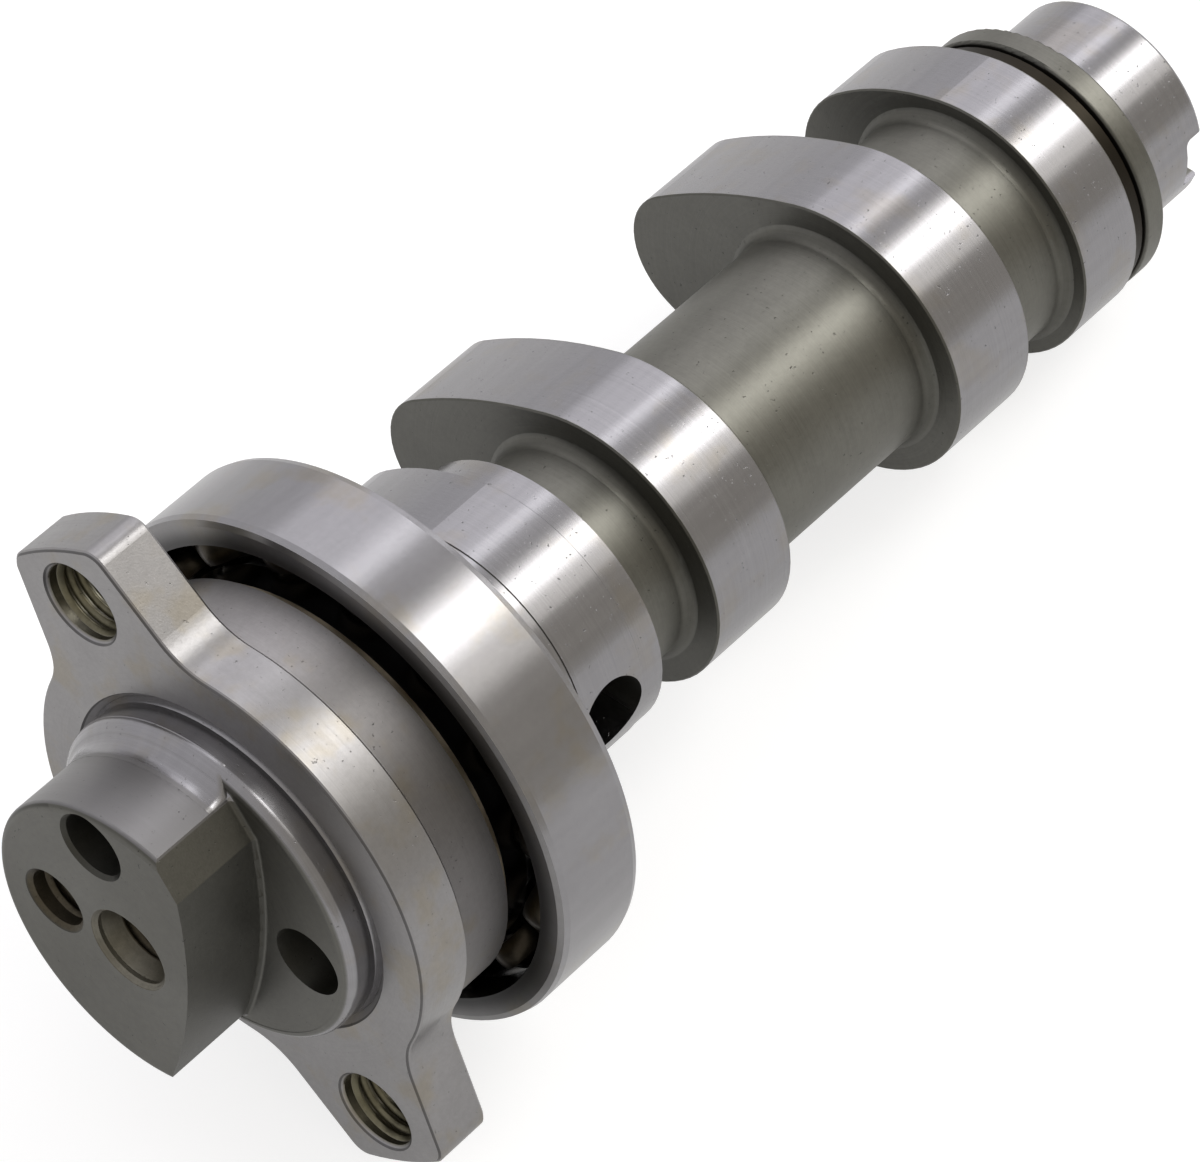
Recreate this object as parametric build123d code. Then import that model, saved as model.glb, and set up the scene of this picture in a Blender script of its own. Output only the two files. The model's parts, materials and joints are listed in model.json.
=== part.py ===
from build123d import *
import math
import os

# A camshaft with its pressed-on sprocket flange and its ball bearing. Millimetres.
# The origin is the centre of the flange's front face, +X runs along the shaft towards the lobes,
# +Y is to the left when the shaft is looked at from the sprocket end, and +Z is up.

os.makedirs("parts", exist_ok=True)

# Bearing: its bore, outside and width drive the rest of it and the end of the shaft that carries it.
SEAT_R = 17.5               # seat of the flange and of the bearing's inner ring
OUTER_R = 27.5
BEARING_FRONT = 13.2
BEARING_WIDTH = 10.0
BEARING_END = BEARING_FRONT + BEARING_WIDTH
BEARING_MIDDLE = BEARING_FRONT + BEARING_WIDTH / 2
RACE_WALL = 2.192           # metal left between a race and its ring's seat
RACE_PLAY = 0.03
PITCH_R = (SEAT_R + OUTER_R) / 2
BALL_R = (OUTER_R - SEAT_R) / 2 - RACE_WALL - RACE_PLAY
BALL_SPACE = 3.6            # least space along the pitch circle between two balls, for the cage's rivets
BALL_COUNT = int(math.tau * PITCH_R / (2 * BALL_R + BALL_SPACE))
RACE_R = 1.03 * BALL_R
INNER_SHOULDER_R = PITCH_R - 0.612 * BALL_R
OUTER_BORE_R = PITCH_R + 0.79 * BALL_R
INNER_GROOVE_R = PITCH_R - BALL_R - RACE_PLAY + RACE_R
OUTER_GROOVE_R = PITCH_R + BALL_R + RACE_PLAY - RACE_R
RING_CORNER = 0.8
CAGE_IN_R = PITCH_R - 0.4 * BALL_R
CAGE_OUT_R = PITCH_R + 0.43 * BALL_R
CAGE_SHEET = 0.5
POCKET_PLAY = 0.06
RIVET_R = 0.5
RIVET_HEAD_R = 0.85
RIVET_HEAD = 0.3

# Sprocket end of the shaft: the nose, the register that centres the sprocket, and the seat.
PILOT_R = SEAT_R - 0.3
PILOT_FRONT = -3.2
PILOT_CHAMFER = 0.8
SEAT_START = 0.7            # a lead-in cone joins the register to the seat
NOSE_FRONT = -12.9
NOSE_R = PILOT_R - 1.6
NOSE_EDGE = 0.8
NOSE_TIP_ROUND = 0.9
NOSE_ROOT = 0.5
NOSE_SIDE_Y = -7.06         # farthest point of the gently curved side
FACET_START = (-2.8, 15.35)
FACET_END = (-5.7, 12.0)
SIDE_END = (-5.2, -14.7)

# Holes of the sprocket end, each with its centre, radius, depth and mouth.
SINK = 0.45
M8_R = 4.0
M8_MOUTH_R = 4.4
M6_R = 3.0
M6_MOUTH_R = 3.5
CENTRE_DEPTH = 22.0
SMALL_THREAD_AT = (8.8, -1.0)
SMALL_THREAD_DEPTH = 8.0
PIN_HOLE_AT = (4.45, 10.8)
PIN_HOLE_R = 3.3
PIN_HOLE_MOUTH_R = 3.6
PIN_HOLE_DEPTH = 9.0
RELEASE_R = 3.6
RELEASE_AT = (-(PILOT_R - 5.0), 0.0)
RELEASE_DEPTH = 20.0

# Flange: a round drum with two ears.
FLANGE_THICK = 6.0
EAR_ANGLES = (49.5, 229.0)
BOLT_CIRCLE_R = 27.5
EAR_TIP_R = BOLT_CIRCLE_R + 5.8
EAR_HALF_WIDTH = 7.85       # at the bolt circle
EAR_TAPER = 0.28
EAR_TIP_ROUND = 2.2
EAR_ROOT_ROUND = 7.5
DRUM_RIM_R = INNER_SHOULDER_R
DRUM_R = DRUM_RIM_R + 1.2
DISC_R = DRUM_R + 0.75
FLANGE_EDGE = 0.3
BORE_CHAMFER = 0.7

# Shaft behind the bearing: shoulder, hub, lobes, necks, collar and end journal.
SHOULDER_R = SEAT_R + 2.0
SHOULDER_END = BEARING_END + 2.0
EXHAUST_BASE_R = 14.7
EXHAUST_PEAK_R = 19.85
EXHAUST_NOSE_R = 11.7
EXHAUST_FLANK_R = 29.0
EXHAUST_ANGLE = 347.5
INTAKE_BASE_R = 15.1
INTAKE_PEAK_R = 25.06
INTAKE_NOSE_R = 8.03
INTAKE_FLANK_R = 61.3
INTAKE_ANGLE = 349.5
LOBE_EDGE = 0.15
LOBE_E1 = (30.95, 39.0)
LOBE_I1 = (48.9, 59.25)
LOBE_I2 = (83.9, 94.4)
LOBE_E2 = (103.45, 111.5)
HUB_R = EXHAUST_BASE_R - 0.1        # the hub stands just under the first lobe's base circle
HUB_END = 41.6
NECK_1_R = 11.7
MID_R = 11.7
NECK_2_R = 12.4
NECK_FILLET = 1.3
STRIP_END = 113.0
STRIP_R = 14.15
UNDERCUT_R = 13.2
COLLAR = (113.4, 116.1)
COLLAR_R = 14.46
COLLAR_EDGE = 0.35
JOURNAL_R = 11.4
JOURNAL_END = 126.3
JOURNAL_ROUND = 0.55
LIFT_PIN_R = 4.0            # empty cross hole in the base circle of the first lobe
LIFT_PIN_X = 34.6
LIFT_PIN_ANGLE = 175.0
LIFT_PIN_FLOOR = 6.5
SLOT_WIDTH = 6.0            # drive slot across the free end
SLOT_DEPTH = 2.5
SLOT_ANGLE = 176.0
SLOT_CORNER = 0.7


def polar(radius, angle):
    """Y and Z of a point at this radius and angle about the shaft axis."""
    return radius * math.cos(math.radians(angle)), radius * math.sin(math.radians(angle))


def across(x):
    """Plane square to the shaft at x, whose own x and y run along the row's Y and Z."""
    return Plane(origin=(x, 0, 0), x_dir=(0, 1, 0), z_dir=(1, 0, 0))


def rod(x0, x1, radius, y=0.0, z=0.0):
    """Round rod along the shaft axis between two stations."""
    return across(x0) * Pos(y, z) * extrude(Circle(radius), x1 - x0)


def turned(points):
    """Solid turned about the shaft axis from (x, r) points."""
    outline = Polyline(*[(x, r) for x, r in points], close=True)
    return revolve(make_face(outline), Axis.X, 360)


def blind_hole(x_mouth, depth, radius, mouth_r, y=0.0, z=0.0):
    """Cutter for a drilled hole entered from the sprocket side, with a countersink and a drill point."""
    cutter = turned([
        (x_mouth - 1, 0), (x_mouth - 1, mouth_r), (x_mouth, mouth_r), (x_mouth + SINK, radius),
        (x_mouth + depth, radius), (x_mouth + depth + 0.58 * radius, 0),
    ])
    return Pos(0, y, z) * cutter


def lobe(span, base_r, peak_r, nose_r, flank_r, nose_angle):
    """Cam lobe of tangent arcs: the base circle, two wide flanks and the nose."""
    x0, x1 = span
    reach = peak_r - nose_r
    to_base = flank_r - base_r
    to_nose = flank_r - nose_r
    turn = math.acos((reach ** 2 + to_base ** 2 - to_nose ** 2) / (2 * reach * to_base))
    centre = Vector(to_base * math.cos(turn), -to_base * math.sin(turn))
    leave = -centre.normalized() * base_r
    nose_centre = Vector(reach, 0)
    arrive = nose_centre + (nose_centre - centre).normalized() * nose_r
    halfway = centre + ((leave - centre) + (arrive - centre)).normalized() * flank_r

    def mirrored(point):
        return Vector(point.X, -point.Y)

    arcs = [
        ThreePointArc(leave, halfway, arrive),
        ThreePointArc(arrive, (peak_r, 0), mirrored(arrive)),
        ThreePointArc(mirrored(arrive), mirrored(halfway), mirrored(leave)),
        ThreePointArc(mirrored(leave), (-base_r, 0), leave),
    ]
    face = make_face([arc.edge() for arc in arcs])
    body = across(x0) * Rot(0, 0, nose_angle) * extrude(face, x1 - x0)
    ends = body.edges().group_by(Axis.X)
    return chamfer(ends[0] + ends[-1], LOBE_EDGE)


def nose_block():
    """D-shaped nose that carries the starting release, with one gently curved side and a facet."""
    arc = ThreePointArc(SIDE_END, polar(NOSE_R, -5), FACET_START)
    facet = Line(FACET_START, FACET_END)
    side = ThreePointArc(FACET_END, (NOSE_SIDE_Y, -1.2), SIDE_END)
    face = make_face([arc.edge(), facet.edge(), side.edge()])
    tip = face.vertices().sort_by(Axis.Y)[0]
    block = across(NOSE_FRONT) * extrude(fillet(tip, NOSE_TIP_ROUND), PILOT_FRONT - NOSE_FRONT + 1.0)
    envelope = rod(NOSE_FRONT, PILOT_FRONT + 2.0, NOSE_R + 0.02)
    return block & fillet(envelope.edges().sort_by(Axis.X)[0], NOSE_EDGE)


def neck(x0, x1, radius):
    """Round neck between two faces, with a hollow fillet at each end that runs a little into the face."""
    sunk = 0.05
    top = radius + NECK_FILLET
    bend = NECK_FILLET * (1 - math.sqrt(0.5))
    left, right = x0 - sunk, x1 + sunk
    edges = [
        Line((left - 1, 0), (left - 1, top)),
        Line((left - 1, top), (left, top)),
        ThreePointArc((left, top), (left + bend, radius + bend), (left + NECK_FILLET, radius)),
        Line((left + NECK_FILLET, radius), (right - NECK_FILLET, radius)),
        ThreePointArc((right - NECK_FILLET, radius), (right - bend, radius + bend), (right, top)),
        Line((right, top), (right + 1, top)),
        Line((right + 1, top), (right + 1, 0)),
        Line((right + 1, 0), (left - 1, 0)),
    ]
    return revolve(make_face([line.edge() for line in edges]), Axis.X, 360)


def circles_at(body, stations):
    """Full circles of the body's edges that stand at one of the (x, r) stations."""
    found = []
    for edge in body.edges().filter_by(GeomType.CIRCLE):
        centre = edge.arc_center
        for x, r in stations:
            if abs(centre.X - x) < 0.01 and abs(edge.radius - r) < 0.01:
                found.append(edge)
                break
    return found


def camshaft():
    body = turned([
        (PILOT_FRONT, 0), (PILOT_FRONT, PILOT_R - PILOT_CHAMFER), (PILOT_FRONT + PILOT_CHAMFER, PILOT_R),
        (0, PILOT_R), (SEAT_START, SEAT_R), (BEARING_END, SEAT_R), (BEARING_END, SHOULDER_R),
        (SHOULDER_END, SHOULDER_R), (SHOULDER_END, HUB_R), (HUB_END, HUB_R), (HUB_END, 0),
    ])
    end = turned([
        (LOBE_E2[1] - 1, 0), (LOBE_E2[1] - 1, STRIP_R), (STRIP_END, STRIP_R), (STRIP_END, UNDERCUT_R),
        (COLLAR[0], UNDERCUT_R), (COLLAR[0], COLLAR_R), (COLLAR[1], COLLAR_R), (COLLAR[1], JOURNAL_R),
        (JOURNAL_END, JOURNAL_R), (JOURNAL_END, 0),
    ])
    end = fillet(circles_at(end, [(JOURNAL_END, JOURNAL_R)]), JOURNAL_ROUND)
    body += fillet(circles_at(end, [(COLLAR[0], COLLAR_R), (COLLAR[1], COLLAR_R)]), COLLAR_EDGE)
    body += neck(HUB_END, LOBE_I1[0], NECK_1_R)
    body += neck(LOBE_I1[1], LOBE_I2[0], MID_R)
    body += neck(LOBE_I2[1], LOBE_E2[0], NECK_2_R)
    for span in (LOBE_E1, LOBE_E2):
        body += lobe(span, EXHAUST_BASE_R, EXHAUST_PEAK_R, EXHAUST_NOSE_R, EXHAUST_FLANK_R, EXHAUST_ANGLE)
    for span in (LOBE_I1, LOBE_I2):
        body += lobe(span, INTAKE_BASE_R, INTAKE_PEAK_R, INTAKE_NOSE_R, INTAKE_FLANK_R, INTAKE_ANGLE)
    body += nose_block()
    nose_roots = [
        edge for edge in body.edges()
        if abs(edge.center().X - PILOT_FRONT) < 0.001 and edge.bounding_box().size.X < 0.001
        and edge.bounding_box().max.Y < 0 and edge.length > 2 and edge.length < 40
    ]
    body = fillet(nose_roots, NOSE_ROOT)

    # Holes of the sprocket end: the centre thread, the small thread, the pin hole and the release bore.
    body -= blind_hole(NOSE_FRONT, CENTRE_DEPTH, M8_R, M8_MOUTH_R)
    body -= blind_hole(NOSE_FRONT, SMALL_THREAD_DEPTH, M6_R, M6_MOUTH_R, *SMALL_THREAD_AT)
    body -= blind_hole(NOSE_FRONT, PIN_HOLE_DEPTH, PIN_HOLE_R, PIN_HOLE_MOUTH_R, *PIN_HOLE_AT)
    body -= rod(PILOT_FRONT - 1, PILOT_FRONT + RELEASE_DEPTH, RELEASE_R, *RELEASE_AT)

    # Empty cross hole in the base circle of the first lobe.
    drill = Plane(origin=(LIFT_PIN_X, 0, 0), z_dir=(0, *polar(1, LIFT_PIN_ANGLE)))
    body -= drill * Pos(0, 0, LIFT_PIN_FLOOR) * extrude(Circle(LIFT_PIN_R), 12)

    # Drive slot across the free end, with a rounded corner along one side of its floor.
    slot = Box(2 * SLOT_DEPTH, 2 * JOURNAL_R + 2, SLOT_WIDTH)
    floor = slot.edges().filter_by(Axis.Y).group_by(Axis.X)[0]
    body -= Pos(JOURNAL_END, 0, 0) * Rot(SLOT_ANGLE, 0, 0) * fillet(floor, SLOT_CORNER)
    return body


def ear_edge(u):
    """Half the width of an ear at the distance u from the shaft axis."""
    return EAR_HALF_WIDTH + (BOLT_CIRCLE_R - u) * EAR_TAPER


def corners_at(sketch, radius):
    """Corners of a sketch that stand at this radius."""
    return [v for v in sketch.vertices() if abs(math.hypot(v.X, v.Y) - radius) < 0.02]


def flange():
    """Two-eared sprocket flange with its drum, pressed on the shaft against the bearing."""
    inside = 0.5 * DISC_R
    beyond = EAR_TIP_R + 2
    wedge = Polygon(
        (inside, -ear_edge(inside)), (beyond, -ear_edge(beyond)),
        (beyond, ear_edge(beyond)), (inside, ear_edge(inside)), align=None,
    )
    ear = wedge & Circle(EAR_TIP_R)
    plate = Circle(DISC_R)
    for angle in EAR_ANGLES:
        plate += Rot(0, 0, angle) * ear
    plate = fillet(corners_at(plate, DISC_R), EAR_ROOT_ROUND)
    plate = fillet(corners_at(plate, EAR_TIP_R), EAR_TIP_ROUND)
    body = across(0) * extrude(plate, FLANGE_THICK)
    ends = body.edges().group_by(Axis.X)
    body = chamfer(ends[0] + ends[-1], FLANGE_EDGE)
    rim = DRUM_R - DRUM_RIM_R
    body += turned([
        (1, 0), (1, DRUM_R), (BEARING_FRONT - rim, DRUM_R), (BEARING_FRONT, DRUM_RIM_R), (BEARING_FRONT, 0),
    ])
    body -= turned([
        (-1, 0), (-1, SEAT_R + BORE_CHAMFER), (0, SEAT_R + BORE_CHAMFER), (BORE_CHAMFER, SEAT_R),
        (BEARING_FRONT + 1, SEAT_R), (BEARING_FRONT + 1, 0),
    ])
    sink = M8_MOUTH_R - M8_R
    cutter = turned([
        (-1, 0), (-1, M8_MOUTH_R), (0, M8_MOUTH_R), (sink, M8_R), (FLANGE_THICK - sink, M8_R),
        (FLANGE_THICK, M8_MOUTH_R), (FLANGE_THICK + 1, M8_MOUTH_R), (FLANGE_THICK + 1, 0),
    ])
    for angle in EAR_ANGLES:
        body -= Pos(0, *polar(BOLT_CIRCLE_R, angle)) * cutter
    return body


def bearing_ring(bore_r, outside_r, groove_r, corners_outside):
    """Bearing ring with a race groove; its seat corners are rounded."""
    x0, x1 = BEARING_FRONT, BEARING_END
    c = RING_CORNER
    if corners_outside:
        points = [(x0, bore_r), (x0, outside_r - c), (x0 + 0.24 * c, outside_r - 0.24 * c)]
        points += [(x0 + c, outside_r), (x1 - c, outside_r), (x1 - 0.24 * c, outside_r - 0.24 * c)]
        points += [(x1, outside_r - c), (x1, bore_r)]
    else:
        points = [(x0, bore_r + c / 2), (x0, outside_r), (x1, outside_r), (x1, bore_r + c / 2)]
        points += [(x1 - c / 2, bore_r), (x0 + c / 2, bore_r)]
    ring = turned(points)
    groove = revolve(Pos(BEARING_MIDDLE, groove_r) * Circle(RACE_R), Axis.X, 360)
    return ring - groove


def ball_centre(i):
    y, z = polar(PITCH_R, 90 + 360 / BALL_COUNT * i)
    return BEARING_MIDDLE, y, z


def cage_half(side):
    """One pressed ribbon half of the cage; side is -1 for the flange side, +1 for the lobe side."""
    middle = BEARING_MIDDLE
    pocket = BALL_R + POCKET_PLAY
    reach = pocket + CAGE_SHEET
    x0, x1 = sorted((middle, middle + side * (reach + 0.1)))
    band = rod(x0, x1, CAGE_OUT_R) - rod(x0 - 1, x1 + 1, CAGE_IN_R)
    x0, x1 = sorted((middle, middle + side * CAGE_SHEET))
    half = rod(x0, x1, CAGE_OUT_R) - rod(x0 - 1, x1 + 1, CAGE_IN_R)
    for i in range(BALL_COUNT):
        half += band & Pos(*ball_centre(i)) * Sphere(reach)
    for i in range(BALL_COUNT):
        half -= Pos(*ball_centre(i)) * Sphere(pocket)
    for i in range(BALL_COUNT):
        y, z = polar(PITCH_R, 90 + 360 / BALL_COUNT * (i + 0.5))
        half -= rod(middle - 2, middle + 2, RIVET_R, y, z)
    return half


def rivets():
    """The cage's rivets as separate solids in one group."""
    near_face = BEARING_MIDDLE - CAGE_SHEET
    far_face = BEARING_MIDDLE + CAGE_SHEET
    group = []
    for i in range(BALL_COUNT):
        y, z = polar(PITCH_R, 90 + 360 / BALL_COUNT * (i + 0.5))
        shank = rod(near_face - RIVET_HEAD / 2, far_face + RIVET_HEAD / 2, RIVET_R, y, z)
        near = rod(near_face - RIVET_HEAD, near_face, RIVET_HEAD_R, y, z)
        far = rod(far_face, far_face + RIVET_HEAD, RIVET_HEAD_R, y, z)
        group.append((shank + near + far).solid())
    return Compound(children=group)


pieces = {
    "camshaft": camshaft(),
    "sprocket_flange": flange(),
    "bearing_inner_ring": bearing_ring(SEAT_R, INNER_SHOULDER_R, INNER_GROOVE_R, False),
    "bearing_outer_ring": bearing_ring(OUTER_BORE_R, OUTER_R, OUTER_GROOVE_R, True),
    "bearing_cage_near": cage_half(-1),
    "bearing_cage_far": cage_half(1),
    "bearing_cage_rivets": rivets(),
}
for number in range(BALL_COUNT):
    pieces[f"bearing_ball_{number + 1:02d}"] = Pos(*ball_centre(number)) * Sphere(BALL_R)

for name, piece in pieces.items():
    export_step(piece, f"parts/{name}.step")
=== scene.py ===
import json
import math

import bmesh
import bpy
from mathutils import Matrix, Vector


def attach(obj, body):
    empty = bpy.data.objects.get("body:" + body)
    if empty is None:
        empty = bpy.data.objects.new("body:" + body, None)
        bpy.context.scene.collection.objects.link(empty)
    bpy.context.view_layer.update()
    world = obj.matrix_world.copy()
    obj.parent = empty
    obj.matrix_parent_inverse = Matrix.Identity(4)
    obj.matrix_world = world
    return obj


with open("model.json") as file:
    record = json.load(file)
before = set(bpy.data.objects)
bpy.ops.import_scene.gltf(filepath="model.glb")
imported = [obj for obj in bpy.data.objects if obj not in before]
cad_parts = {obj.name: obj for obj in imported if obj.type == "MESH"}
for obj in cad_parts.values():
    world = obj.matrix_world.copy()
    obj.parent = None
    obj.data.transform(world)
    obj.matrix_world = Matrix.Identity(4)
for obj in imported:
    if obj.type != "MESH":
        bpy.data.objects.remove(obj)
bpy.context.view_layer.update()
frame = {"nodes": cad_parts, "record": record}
MM = 0.001

# Places and sizes that the looks and the added shapes share, in millimetres in the part's own frame.
mounts = {mount["name"]: mount for mount in frame["record"]["mounts"]}
M8_R = mounts["centre_thread"]["dims"]["r_mm"]
M6_R = mounts["nose_thread"]["dims"]["r_mm"]
BOLT_CIRCLE_R = mounts["sprocket_bolts"]["dims"]["pcd_mm"] / 2
EAR_ANGLES = (49.5, 229.0)
EAR_HOLES = [
    (BOLT_CIRCLE_R * math.cos(math.radians(angle)), BOLT_CIRCLE_R * math.sin(math.radians(angle)))
    for angle in EAR_ANGLES
]
CENTRE_HOLE = (0.0, 0.0)
SMALL_HOLE = tuple(c / MM for c in mounts["nose_thread"]["pos_m"][1:])

# Stretches along the shaft.
GROUND_SPANS = ((25.2, 41.65), (49.1, 59.05), (84.1, 94.2), (103.65, 111.3), (116.3, 127.0))
REGISTER_SPAN = (-5.3, 0.75)
CONE_SPAN = (-13.0, -10.2)          # behind the mouth of the centre hole
BROWN_STRIP = (111.45, 113.42)      # between the last lobe and the collar, a groove coloured near black as painted shade
LAND_SOFT = 0.06                    # half the width over which such a stretch fades at its ends
REGISTER_SOFT = 0.15
LINE_SOFT = 0.05

# Borders between two looks, each of which fades over its two values.
GROUND_R = (10.6, 11.0)             # ground faces lie outside this radius
NOSE_ROUND_R = (15.42, 15.5)        # the round side of the nose, as against its milled sides
NOSE_END_X = (-3.3, -3.15)
FACET_Z = (11.9, 12.1)              # the short upper milled side lies above this; it gets painted light, as it faces up
CENTRE_HOLE_R = (4.3, 4.45)
SMALL_HOLE_R = (3.3, 3.5)
SMALL_HOLE_END_X = (-4.5, -4.3)
DRUM_X = (6.15, 6.3)
DRUM_BACK_X = (11.5, 12.0)
FLANGE_FRONT_X = (0.14, 0.2)
EAR_HOLE_R = (3.9, 4.2)
RING_SHADE_R = (24.9, 27.1)          # painted shade on the rings, deepest at their races and fading outwards
END_TILT = (0.75, 0.95)             # share of x in the normal, from side faces to end faces
COVE_TILT = (0.12, 0.6)             # from straight sides to the hollows at the lobes' feet, which get painted shade

# Stretches of tilt and of angle.
SLANTED_TILT = (0.35, 0.9)          # share of x in the normal of a bevel
LIT_DRUM_ANGLE = (0.9, 1.72)           # the side of the drum that gets painted light, in radians about the shaft
LIT_DRUM_SOFT = 0.12


class Graph:
    """A material's node tree. Its arithmetic takes sockets or plain numbers and gives back a socket."""

    def __init__(self, name):
        self.material = bpy.data.materials.new(name)
        self.material.use_nodes = True
        self.tree = self.material.node_tree
        self.tree.nodes.clear()

    def node(self, kind, **settings):
        made = self.tree.nodes.new(kind)
        for key, value in settings.items():
            setattr(made, key, value)
        return made

    def feed(self, socket, value):
        if isinstance(value, bpy.types.NodeSocket):
            self.tree.links.new(value, socket)
        elif value is not None:
            socket.default_value = value

    def math(self, operation, a, b=None):
        made = self.node("ShaderNodeMath", operation=operation)
        for socket, value in zip(made.inputs, (a, b)):
            self.feed(socket, value)
        return made.outputs[0]

    def times(self, *factors):
        product = factors[0]
        for factor in factors[1:]:
            product = self.math("MULTIPLY", product, factor)
        return product

    def inverse(self, value):
        """1 where the value is 0, and 0 where it is 1."""
        return self.math("SUBTRACT", 1.0, value)

    def swing(self, value, size, base):
        """The value times a size, on top of a base."""
        return self.math("ADD", self.times(value, size), base)

    def length(self, a, b):
        """Length of the line whose parts along two square axes are a and b."""
        return self.math("SQRT", self.math("ADD", self.times(a, a), self.times(b, b)))

    def vector(self, x, y, z):
        made = self.node("ShaderNodeCombineXYZ")
        for socket, value in zip(made.inputs, (x, y, z)):
            self.feed(socket, value)
        return made.outputs[0]

    def step(self, value, low, high):
        """0 below low, 1 above high, smooth between."""
        made = self.node("ShaderNodeMapRange", interpolation_type="SMOOTHSTEP")
        self.feed(made.inputs["Value"], value)
        made.inputs["From Min"].default_value = low
        made.inputs["From Max"].default_value = high
        return made.outputs["Result"]

    def below(self, value, low, high):
        """1 below low, 0 above high, smooth between."""
        return self.inverse(self.step(value, low, high))

    def within(self, value, low, high, soft):
        """1 between low and high, 0 outside, smooth over soft at each end."""
        rise = self.step(value, low - soft, low + soft)
        fall = self.step(value, high - soft, high + soft)
        return self.math("SUBTRACT", rise, fall)

    def noise(self, vector, scale, detail, roughness):
        made = self.node("ShaderNodeTexNoise")
        self.feed(made.inputs["Vector"], vector)
        made.inputs["Scale"].default_value = scale
        made.inputs["Detail"].default_value = detail
        made.inputs["Roughness"].default_value = roughness
        return made.outputs["Fac"]

    def mix(self, factor, a, b, blend_type="MIX"):
        """Colour that goes from a to b with the factor."""
        made = self.node("ShaderNodeMix", data_type="RGBA", blend_type=blend_type)
        self.feed(made.inputs[0], factor)
        self.feed(made.inputs[6], a)
        self.feed(made.inputs[7], b)
        return made.outputs[2]

    def blend(self, factor, a, b):
        """Plain number that goes from a to b with the factor."""
        made = self.node("ShaderNodeMix", data_type="FLOAT")
        self.feed(made.inputs[0], factor)
        self.feed(made.inputs[2], a)
        self.feed(made.inputs[3], b)
        return made.outputs[0]

    def shade(self, colour, factor):
        """Colour made lighter or darker by a factor around 1."""
        made = self.node("ShaderNodeVectorMath", operation="SCALE")
        self.feed(made.inputs[0], colour if isinstance(colour, bpy.types.NodeSocket) else colour[:3])
        self.feed(made.inputs["Scale"], factor)
        return made.outputs[0]

    def lighter(self, colour, mask, amount):
        """Colour made lighter by this share where the mask is 1."""
        return self.shade(colour, self.swing(mask, amount, 1.0))

    def darker(self, colour, mask, amount):
        """Colour made darker by this share where the mask is 1."""
        return self.shade(colour, self.inverse(self.times(mask, amount)))

    def place(self):
        """Sets the place in millimetres, the radius and angle about the shaft, and how surfaces face."""
        coords = self.node("ShaderNodeTexCoord")
        parts = self.node("ShaderNodeSeparateXYZ")
        self.feed(parts.inputs[0], coords.outputs["Object"])
        self.x, self.y, self.z = (self.times(parts.outputs[i], 1.0 / MM) for i in range(3))
        self.radius = self.length(self.y, self.z)
        self.angle = self.math("ARCTAN2", self.z, self.y)
        self.spot = self.vector(self.x, self.y, self.z)
        normal = self.node("ShaderNodeSeparateXYZ")
        self.feed(normal.inputs[0], coords.outputs["Normal"])
        self.tilt = self.math("ABSOLUTE", normal.outputs[0])
        self.facing_end = self.step(self.tilt, *END_TILT)
        self.outward = self.inverse(self.facing_end)
        sine = self.math("SINE", self.angle)
        around = self.vector(0.0, self.times(sine, -1.0), self.math("COSINE", self.angle))
        across = self.node("ShaderNodeVectorMath", operation="CROSS_PRODUCT")
        self.feed(across.inputs[0], coords.outputs["Normal"])
        self.feed(across.inputs[1], around)
        to_world = self.node("ShaderNodeVectorTransform", vector_type="VECTOR")
        to_world.convert_from = "OBJECT"
        to_world.convert_to = "WORLD"
        self.feed(to_world.inputs[0], across.outputs[0])
        self.across_marks = to_world.outputs[0]
        return self

    def finish(self, colour, roughness, bump=None, height_mm=0.0, anisotropic=0.0):
        """Metal with this colour, roughness and height of relief, and with gloss drawn across its marks."""
        shader = self.node("ShaderNodeBsdfPrincipled")
        self.feed(shader.inputs["Base Color"], colour)
        self.feed(shader.inputs["Roughness"], roughness)
        shader.inputs["Metallic"].default_value = 1.0
        if anisotropic:
            shader.inputs["Anisotropic"].default_value = anisotropic
            self.feed(shader.inputs["Tangent"], self.across_marks)
        if bump is not None:
            relief = self.node("ShaderNodeBump")
            relief.inputs["Distance"].default_value = height_mm * MM
            relief.inputs["Strength"].default_value = 1.0
            self.feed(relief.inputs["Height"], bump)
            self.feed(shader.inputs["Normal"], relief.outputs[0])
        output = self.node("ShaderNodeOutputMaterial")
        self.feed(output.inputs[0], shader.outputs[0])
        return self.material


def ring_marks(g, per_mm=7.0):
    """Fine turning marks: quick along x, nearly constant round the shaft."""
    lie = g.vector(g.times(g.x, per_mm), g.times(g.radius, per_mm), g.angle)
    return g.noise(lie, scale=1.0, detail=3.0, roughness=0.6)


def axial_bands(g):
    """Soft bands that run along the shaft, as grinding leaves them."""
    lie = g.vector(g.times(g.x, 0.05), g.times(g.angle, 14.0), 0.0)
    return g.noise(lie, scale=1.0, detail=3.0, roughness=0.55)


def wear(g):
    """Sparse dark specks and nicks."""
    return g.step(g.noise(g.spot, scale=2.2, detail=2.0, roughness=0.6), 0.68, 0.76)


def mottle(g, amount):
    """Fine cloudy tone around 1, as handling and oil leave it."""
    fine = g.noise(g.spot, scale=1.6, detail=4.0, roughness=0.7)
    broad = g.noise(g.spot, scale=0.22, detail=2.0, roughness=0.5)
    both = g.math("ADD", g.times(fine, 0.6), g.times(broad, 0.4))
    return g.swing(both, 2.0 * amount, 1.0 - amount)


def stained(g, colour, amount):
    """Colour with faint yellow oil stains."""
    yellow_stain_and_highlight = (1.0, 0.88, 0.6, 1)
    cloud = g.step(g.noise(g.spot, scale=0.16, detail=3.0, roughness=0.6), 0.5, 0.68)
    return g.mix(g.times(cloud, amount), colour, yellow_stain_and_highlight, blend_type="MULTIPLY")


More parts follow.
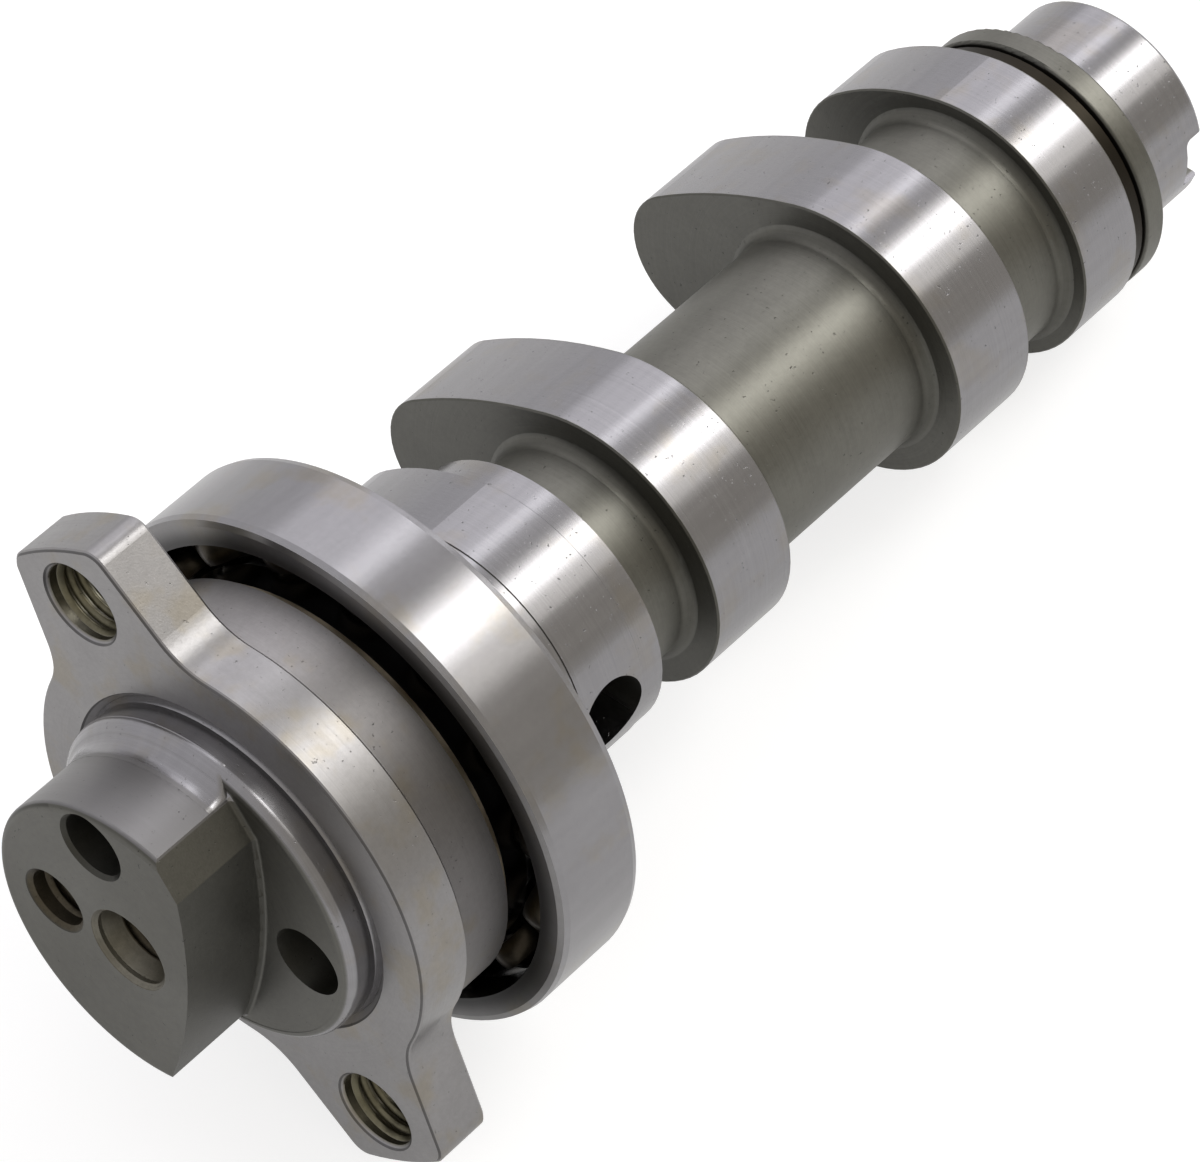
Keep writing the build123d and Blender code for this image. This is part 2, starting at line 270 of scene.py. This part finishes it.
def from_line(g, place):
    """Distance in millimetres from the line along the shaft through this y and z."""
    return g.length(g.math("SUBTRACT", g.y, place[0]), g.math("SUBTRACT", g.z, place[1]))


def ground_faces(g, on_round):
    """1 on the ground lands, journals and register, and 0 on what is only turned or milled."""
    lands = g.within(g.x, *GROUND_SPANS[0], LAND_SOFT)
    for low, high in GROUND_SPANS[1:]:
        lands = g.math("ADD", lands, g.within(g.x, low, high, LAND_SOFT))
    lands = g.times(lands, g.outward, g.step(g.radius, *GROUND_R))
    register = g.times(g.within(g.x, *REGISTER_SPAN, REGISTER_SOFT), g.times(on_round, g.outward))
    return g.math("MAXIMUM", lands, register)


def shaft_material():
    """Bright ground lands and journals, dull turned necks, a milled nose and oily holes."""
    g = Graph("shaft_steel_look").place()
    ground = (0.285, 0.28, 0.288, 1)
    turned = (0.165, 0.162, 0.142, 1)
    sides = (0.135, 0.133, 0.12, 1)
    nose_round = (0.235, 0.23, 0.228, 1)
    hole_brown = (0.115, 0.1, 0.072, 1)
    cone_yellow = (0.26, 0.245, 0.2, 1)
    groove_shade_brown = (0.028, 0.024, 0.018, 1)
    on_round = g.step(g.radius, *NOSE_ROUND_R)
    bright = ground_faces(g, on_round)
    marks = ring_marks(g)
    specks = wear(g)

    dull = g.mix(g.facing_end, turned, sides)
    dull = g.shade(dull, g.times(g.swing(marks, 0.4, 0.8), mottle(g, 0.25)))
    on_nose = g.times(g.below(g.x, *NOSE_END_X), g.outward)
    dull = g.mix(g.times(on_nose, on_round), dull, nose_round)
    on_milled = g.times(on_nose, g.inverse(on_round))
    dull = g.darker(dull, on_milled, 0.4)
    in_centre = g.below(g.radius, *CENTRE_HOLE_R)
    in_small = g.times(g.below(from_line(g, SMALL_HOLE), *SMALL_HOLE_R), g.below(g.x, *SMALL_HOLE_END_X))
    in_hole = g.times(g.math("MAXIMUM", in_centre, in_small), g.outward)
    dull = g.mix(in_hole, dull, g.shade(hole_brown, mottle(g, 0.8)))
    # Painted light: the upper milled side of the nose, which faces up, is made lighter.
    facet_painted_light = g.times(on_milled, g.step(g.z, *FACET_Z))
    dull = g.lighter(dull, facet_painted_light, 0.5)
    cone = g.times(in_centre, g.within(g.x, *CONE_SPAN, LINE_SOFT))
    dull = g.mix(cone, dull, g.shade(cone_yellow, mottle(g, 0.5)))
    # Painted shade in the hollows at the lobes' feet.
    cove_shade = g.times(g.step(g.tilt, *COVE_TILT), g.outward)
    dull = g.darker(dull, cove_shade, 0.35)
    # Painted shade: the groove between the last lobe and the collar is coloured near black.
    dull = g.mix(g.within(g.x, *BROWN_STRIP, LINE_SOFT), dull, groove_shade_brown)

    shine = g.shade(ground, g.swing(axial_bands(g), 0.2, 0.9))
    shine = g.shade(shine, g.swing(marks, 0.24, 0.88))
    shine = stained(g, shine, 0.25)
    colour = g.darker(g.mix(bright, dull, shine), specks, 0.45)
    roughness = g.blend(bright, g.swing(marks, 0.15, 0.36), 0.24)
    relief = g.times(marks, g.blend(bright, 0.6, 0.3))
    relief = g.math("SUBTRACT", relief, g.times(specks, 2.0))
    return g.finish(colour, roughness, relief, height_mm=0.012, anisotropic=0.5)


def flange_material():
    """Satin ears and disc, a duller drum with painted shade and with painted light on its upper side, oily
    threads, a painted highlight as a thin yellow line at the drum's back edge, and a painted dark line at
    the disc's front edge.
    """
    g = Graph("flange_steel_look").place()
    disc_steel = (0.295, 0.288, 0.288, 1)
    drum_steel_and_shade = (0.185, 0.178, 0.176, 1)
    yellow_stain_and_highlight = (0.62, 0.54, 0.4, 1)
    hole_brown = (0.16, 0.148, 0.1, 1)
    marks = ring_marks(g, 5.0)
    specks = wear(g)
    drum = g.step(g.x, *DRUM_X)
    slanted = g.within(g.tilt, *SLANTED_TILT, LINE_SOFT)

    # The drum's darker colour is partly its duller finish and partly painted shade between the disc and the
    # bearing.
    colour = g.mix(drum, disc_steel, drum_steel_and_shade)
    # Painted light: the drum's upper side is made lighter.
    drum_painted_light = g.times(drum, g.within(g.angle, *LIT_DRUM_ANGLE, LIT_DRUM_SOFT))
    colour = g.lighter(colour, drum_painted_light, 0.8)
    colour = g.shade(colour, mottle(g, 0.22))
    # Painted highlight: a thin yellow line on the bevel at the drum's back edge.
    colour = g.mix(g.times(slanted, g.step(g.x, *DRUM_BACK_X)), colour, yellow_stain_and_highlight)
    colour = stained(g, colour, 0.4)
    from_hole = g.math("MINIMUM", *(from_line(g, place) for place in EAR_HOLES))
    oily = g.below(from_hole, *EAR_HOLE_R)
    colour = g.mix(oily, colour, g.shade(hole_brown, mottle(g, 0.7)))
    # Painted shade: a thin dark line on the bevel at the flange's front edge.
    front_edge_shade = g.times(slanted, g.below(g.x, *FLANGE_FRONT_X))
    colour = g.darker(colour, front_edge_shade, 0.6)
    colour = g.darker(colour, specks, 0.4)
    roughness = g.math("ADD", g.times(marks, 0.15), g.blend(drum, 0.3, 0.4))
    relief = g.math("SUBTRACT", marks, g.times(specks, 2.0))
    return g.finish(colour, roughness, relief, height_mm=0.01, anisotropic=0.4)


def ring_material():
    """Ground bearing rings, darkened towards their races with painted shade."""
    g = Graph("ring_steel_look").place()
    side_steel = (0.282, 0.277, 0.284, 1)
    face_steel = (0.24, 0.235, 0.235, 1)
    colour = g.mix(g.facing_end, side_steel, face_steel)
    colour = g.shade(colour, g.swing(axial_bands(g), 0.2, 0.9))
    colour = g.shade(stained(g, colour, 0.35), mottle(g, 0.12))
    # Painted shade: the rings darken towards the gap between them.
    colour = g.shade(colour, g.blend(g.step(g.radius, *RING_SHADE_R), 0.22, 1.0))
    roughness = g.blend(g.facing_end, 0.24, 0.3)
    return g.finish(colour, roughness, ring_marks(g, 9.0), height_mm=0.004, anisotropic=0.5)


def ball_material():
    """Polished balls under a thin film of oil."""
    g = Graph("ball_steel_look").place()
    film = g.noise(g.spot, scale=0.6, detail=2.0, roughness=0.5)
    colour = g.mix(film, (0.07, 0.063, 0.052, 1), (0.15, 0.14, 0.125, 1))
    return g.finish(colour, g.swing(film, 0.1, 0.08))


def cage_material():
    """Dark oily sheet steel."""
    g = Graph("cage_steel_look").place()
    film = g.noise(g.spot, scale=0.8, detail=3.0, roughness=0.6)
    colour = g.mix(film, (0.022, 0.018, 0.013, 1), (0.07, 0.06, 0.045, 1))
    return g.finish(colour, g.swing(film, 0.2, 0.25), film, height_mm=0.02)


LOOKS = {
    "shaft_steel": shaft_material(),
    "flange_steel": flange_material(),
    "ring_steel": ring_material(),
    "ball_steel": ball_material(),
    "cage_steel": cage_material(),
}
for part in frame["record"]["subparts"]:
    obj = frame["nodes"][part["node"]]
    for i in range(len(obj.material_slots)):
        obj.material_slots[i].material = LOOKS[part["material_slot"]]
    if not obj.material_slots:
        obj.data.materials.append(LOOKS[part["material_slot"]])


# Shapes on top of the part's own solids: ridges in the four tapped holes, a short cone behind the mouth of
# the centre hole, a rounded edge on the register, and the hollow blend from the nose up to the register.
# Each is a closed body that sinks a little into the metal, and all of them ride on the shaft.

SHARP_DEG = 75.0            # faces that meet at more than this show an edge


def skin(name, rows, slot, ring=False):
    """Closed body swept through rows of section points in millimetres, riding on the shaft."""
    mesh = bpy.data.meshes.new(name)
    width = len(rows[0])
    count = len(rows)
    points = [[c * MM for c in point] for row in rows for point in row]
    faces = []
    for i in range(count if ring else count - 1):
        for j in range(width):
            k = (j + 1) % width
            here = i * width
            after = (i + 1) % count * width
            faces.append((here + j, here + k, after + k, after + j))
    if not ring:
        faces.append(tuple(reversed(range(width))))
        faces.append(tuple(range((count - 1) * width, count * width)))
    mesh.from_pydata(points, [], faces)
    for polygon in mesh.polygons:
        polygon.use_smooth = True
    mesh.set_sharp_from_angle(angle=math.radians(SHARP_DEG))
    obj = bpy.data.objects.new(name, mesh)
    bpy.context.scene.collection.objects.link(obj)
    mesh.materials.append(LOOKS[slot])
    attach(obj, "shaft")


THREAD_STEPS = 44           # sections in one turn
THREAD_DEPTH = 0.54         # of the pitch
THREAD_SINK = 0.02
CREST_HALF = 0.08           # half widths of the ridge, of the pitch
ROOT_HALF = 0.44
LEAST_FADE = 0.04


def thread(name, slot, place, start, length, major_r, pitch):
    """Right-handed ridge of a tapped hole; it fades in and out over one turn."""
    y, z = place
    minor_r = major_r - THREAD_DEPTH * pitch
    root_r = major_r + THREAD_SINK
    turns = length / pitch
    rows = []
    for i in range(int(turns * THREAD_STEPS) + 1):
        turn = i / THREAD_STEPS
        fade = min(1.0, turn, turns - turn)
        crest_r = root_r - (root_r - minor_r) * max(fade, LEAST_FADE)
        x = start + pitch * turn
        c = math.cos(math.tau * turn)
        s = math.sin(math.tau * turn)
        rise = ((-ROOT_HALF, root_r), (-CREST_HALF, crest_r))
        fall = ((CREST_HALF, crest_r), (ROOT_HALF, root_r))
        rows.append([(x + along * pitch, y + r * c, z + r * s) for along, r in rise + fall])
    skin(name, rows, slot)


# Each ridge begins at a start on x and runs over a length from there.
EAR_THREAD = {"start": 0.7, "length": 4.9, "major_r": M8_R, "pitch": 1.0}
CENTRE_THREAD = {"start": -10.2, "length": 16.0, "major_r": M8_R, "pitch": 1.25}
NOSE_THREAD = {"start": -11.6, "length": 6.0, "major_r": M6_R, "pitch": 1.0}

for number, hole in enumerate(EAR_HOLES, 1):
    thread(f"ear_thread_{number}", "flange_steel", hole, **EAR_THREAD)
thread("centre_thread_ridge", "shaft_steel", CENTRE_HOLE, **CENTRE_THREAD)
thread("nose_thread_ridge", "shaft_steel", SMALL_HOLE, **NOSE_THREAD)


ROUND_STEPS = 120           # sections in one ring


def turned_skin(name, profile, slot):
    """Closed ring about the shaft, from a profile of (x, radius) points."""
    rows = []
    for i in range(ROUND_STEPS):
        turn = -math.tau * i / ROUND_STEPS
        rows.append([(x, r * math.cos(turn), r * math.sin(turn)) for x, r in profile])
    skin(name, rows, slot, ring=True)


def front_quarter(x, r, size, steps=8):
    """Quarter round with its centre at this x and radius, from its front out to its side."""
    turns = [math.pi / 2 * i / steps for i in range(steps + 1)]
    return [(x - size * math.cos(turn), r + size * math.sin(turn)) for turn in turns]


CONE_SHOWN = [(-10.1, 3.4), (-12.7, 4.2)]
CONE_SUNK = [(-12.6, 4.35), (-10.1, 4.1)]

turned_skin("register_round", front_quarter(x=-2.2, r=16.2, size=1.03), "shaft_steel")
turned_skin("centre_mouth_cone", CONE_SHOWN + CONE_SUNK, "shaft_steel")


# The blend's profile as (x, radius), in two curves, each with its start, what it leans towards, and its end.
BLEND_HOLLOW = ((-5.8, 15.61), (-3.95, 15.62), (-3.5, 16.35))
BLEND_ROUNDED = ((-3.5, 16.35), (-3.1, 17.0), (-2.1, 17.25))
CURVE_STEPS = 8
BLEND_STEPS = 90
NOSE_R = 15.6
NOSE_UNDER_R = 15.55        # the blend's underside, just inside the nose
REGISTER_FRONT_X = -3.2
REGISTER_CHAMFER = 19.6     # radius less x on the register's front chamfer
CHAMFER_SINK = 0.1

# Where the milled sides cut the blend off: a point of each side as (y, z), and its way from there.
FACET_CUT = ((-2.83, 15.33), (0.6546, 0.7562))
SIDE_CUT = ((-4.9, -14.8), (0.255, -0.967))


def curve_point(a, b, c, t):
    """Point on the curve from a to c that leans towards b."""
    return [(1 - t) ** 2 * p + 2 * t * (1 - t) * q + t * t * r for p, q, r in zip(a, b, c)]


def outward_turn(start, way, radius):
    """Angle at which a flat that goes on from this point reaches the radius."""
    half = start[0] * way[0] + start[1] * way[1]
    reach = -half + math.sqrt(half * half - start[0] ** 2 - start[1] ** 2 + radius * radius)
    return math.atan2(start[1] + reach * way[1], start[0] + reach * way[0])


def blend_underside(x, r):
    """The profile's point moved into the metal under it."""
    if x < REGISTER_FRONT_X:
        return (x, NOSE_UNDER_R)
    return (x, min(r, REGISTER_CHAMFER + x) - CHAMFER_SINK)


def nose_blend():
    """Hollow blend from the round side of the nose up to the register, cut off where the nose is milled."""
    hollow = [curve_point(*BLEND_HOLLOW, i / CURVE_STEPS) for i in range(CURVE_STEPS)]
    rounded = [curve_point(*BLEND_ROUNDED, i / CURVE_STEPS) for i in range(CURVE_STEPS + 1)]
    profile = hollow + rounded
    under = [blend_underside(x, r) for x, r in reversed(profile)]
    rows = []
    for i in range(BLEND_STEPS + 1):
        share = i / BLEND_STEPS
        row = []
        for x, r in profile + under:
            first = outward_turn(*FACET_CUT, max(r, NOSE_R))
            last = outward_turn(*SIDE_CUT, max(r, NOSE_R))
            turn = first + (last - first) * share
            row.append((x, r * math.cos(turn), r * math.sin(turn)))
        rows.append(row)
    skin("nose_register_blend", rows, "shaft_steel")


nose_blend()


# Camera, from a fit to the photograph's edges.
RIGHT = Vector((0.65093, -0.757, 0.05695))
DOWN = Vector((-0.56725, -0.53488, -0.6262))
AHEAD = Vector((0.50449, 0.37531, -0.77758))
EYE = Vector((-254.46, -226.91, 463.76)) * MM
FOCAL_LENGTH_MM = 196.35
SENSOR_WIDTH_MM = 36.0

lens = bpy.data.cameras.new("camera")
lens.sensor_fit = "HORIZONTAL"
lens.sensor_width = SENSOR_WIDTH_MM
lens.lens = FOCAL_LENGTH_MM
lens.clip_start = 0.05
lens.clip_end = 5.0
camera = bpy.data.objects.new("camera", lens)
bpy.context.scene.collection.objects.link(camera)
camera_turn = Matrix((RIGHT, -DOWN, -AHEAD)).transposed().to_4x4()
camera.matrix_world = Matrix.Translation(EYE) @ camera_turn
bpy.context.scene.camera = camera


# Floor, just under the bearing's outer ring and the collar, on which the shaft lies.
REST_FRONT = Vector((22.4, 0, -27.5)) * MM
REST_BACK = Vector((114.75, 0, -14.46)) * MM
FLOOR_GAP = Vector((0, 0, 0.2)) * MM
FLOOR_HALF_SIZE = 1.5
FLOOR_GLOW = 0.72
REFLECTED_SHARE = 0.6       # of the glow, in reflections
PAINT_WHITE = 0.42          # paint under the glow, where the floor is seen
BARE_WHITE = 0.85           # paint that other rays meet, which lights the part from below


def matt(g, white):
    shader = g.node("ShaderNodeBsdfDiffuse")
    shader.inputs["Color"].default_value = (white, white, white, 1)
    return shader.outputs[0]


def floor_material():
    """Glow where the camera or a reflection sees the floor, over paint that keeps the shadow."""
    g = Graph("floor_white")
    rays = g.node("ShaderNodeLightPath")
    glow = g.node("ShaderNodeEmission")
    strength = g.blend(rays.outputs["Is Glossy Ray"], FLOOR_GLOW, FLOOR_GLOW * REFLECTED_SHARE)
    g.feed(glow.inputs["Strength"], strength)
    seen_paint = g.node("ShaderNodeAddShader")
    g.feed(seen_paint.inputs[0], matt(g, PAINT_WHITE))
    g.feed(seen_paint.inputs[1], glow.outputs[0])
    seen = g.math("MAXIMUM", rays.outputs["Is Camera Ray"], rays.outputs["Is Glossy Ray"])
    seen = g.math("MAXIMUM", seen, rays.outputs["Is Transmission Ray"])
    mix = g.node("ShaderNodeMixShader")
    g.feed(mix.inputs[0], seen)
    g.feed(mix.inputs[1], matt(g, BARE_WHITE))
    g.feed(mix.inputs[2], seen_paint.outputs[0])
    output = g.node("ShaderNodeOutputMaterial")
    g.feed(output.inputs[0], mix.outputs[0])
    return g.material


slope = math.atan2(REST_BACK.z - REST_FRONT.z, REST_BACK.x - REST_FRONT.x)
floor_mesh = bpy.data.meshes.new("floor")
build = bmesh.new()
bmesh.ops.create_grid(build, x_segments=2, y_segments=2, size=FLOOR_HALF_SIZE)
build.to_mesh(floor_mesh)
build.free()
floor = bpy.data.objects.new("floor", floor_mesh)
bpy.context.scene.collection.objects.link(floor)
floor.matrix_world = Matrix.Translation(REST_FRONT - FLOOR_GAP) @ Matrix.Rotation(-slope, 4, "Y")
floor_mesh.materials.append(floor_material())


# Lamps: long soft boxes beside the shaft, where the camera sees them reflected in it.
LAMP_AIM = Vector((0.055, 0, 0))
LAMP_AHEAD = 0.52           # along the shaft from the aim
LAMP_ASIDE = 0.854          # square to the shaft
LAMP_LENGTH = 1.0


def soft_box(name, turn_deg, width, radiance, colour):
    """Soft box that runs along the shaft, at this angle about it."""
    turn = math.radians(turn_deg)
    place = LAMP_AIM + Vector((LAMP_AHEAD, LAMP_ASIDE * math.cos(turn), LAMP_ASIDE * math.sin(turn)))
    lamp = bpy.data.lights.new(name, "AREA")
    lamp.shape = "RECTANGLE"
    lamp.size = LAMP_LENGTH
    lamp.size_y = width
    lamp.energy = 4.0 * LAMP_LENGTH * width * radiance
    lamp.color = colour
    obj = bpy.data.objects.new(name, lamp)
    bpy.context.scene.collection.objects.link(obj)
    away = (place - LAMP_AIM).normalized()
    along = (Vector((1, 0, 0)) - away * away.x).normalized()
    facing = Matrix((along, away.cross(along), away)).transposed().to_4x4()
    obj.matrix_world = Matrix.Translation(place) @ facing


soft_box("main_box", 104.5, width=0.27, radiance=2.4, colour=(1.0, 1.0, 1.0))
soft_box("main_halo", 111.0, width=0.62, radiance=0.9, colour=(1.0, 0.98, 0.93))
soft_box("second_box", 66.0, width=0.15, radiance=1.1, colour=(0.97, 0.97, 1.0))
soft_box("left_box", 47.0, width=0.66, radiance=0.48, colour=(0.96, 0.94, 1.0))

# Surroundings: warm and darker on the side of -Y, cooler and lighter on the side of +Y.
WARM_SIDE = (0.56, 0.53, 0.48, 1)
COOL_SIDE = (0.84, 0.83, 0.86, 1)
SIDE_RANGE = (-0.7, 0.5)    # share of +Y in the direction, from all warm to all cool

world = bpy.data.worlds.new("world")
bpy.context.scene.world = world
world.use_nodes = True
sky = world.node_tree
sky_way = sky.nodes.new("ShaderNodeTexCoord")
sky_parts = sky.nodes.new("ShaderNodeSeparateXYZ")
sky.links.new(sky_way.outputs["Generated"], sky_parts.inputs[0])
sky_side = sky.nodes.new("ShaderNodeMapRange")
sky_side.inputs["From Min"].default_value = SIDE_RANGE[0]
sky_side.inputs["From Max"].default_value = SIDE_RANGE[1]
sky.links.new(sky_parts.outputs[1], sky_side.inputs["Value"])
sky_mix = sky.nodes.new("ShaderNodeMix")
sky_mix.data_type = "RGBA"
sky.links.new(sky_side.outputs["Result"], sky_mix.inputs[0])
sky_mix.inputs[6].default_value = WARM_SIDE
sky_mix.inputs[7].default_value = COOL_SIDE
sky.links.new(sky_mix.outputs[2], sky.nodes["Background"].inputs["Color"])
sky.nodes["Background"].inputs["Strength"].default_value = 1.0

bpy.context.scene.view_settings.view_transform = "Standard"
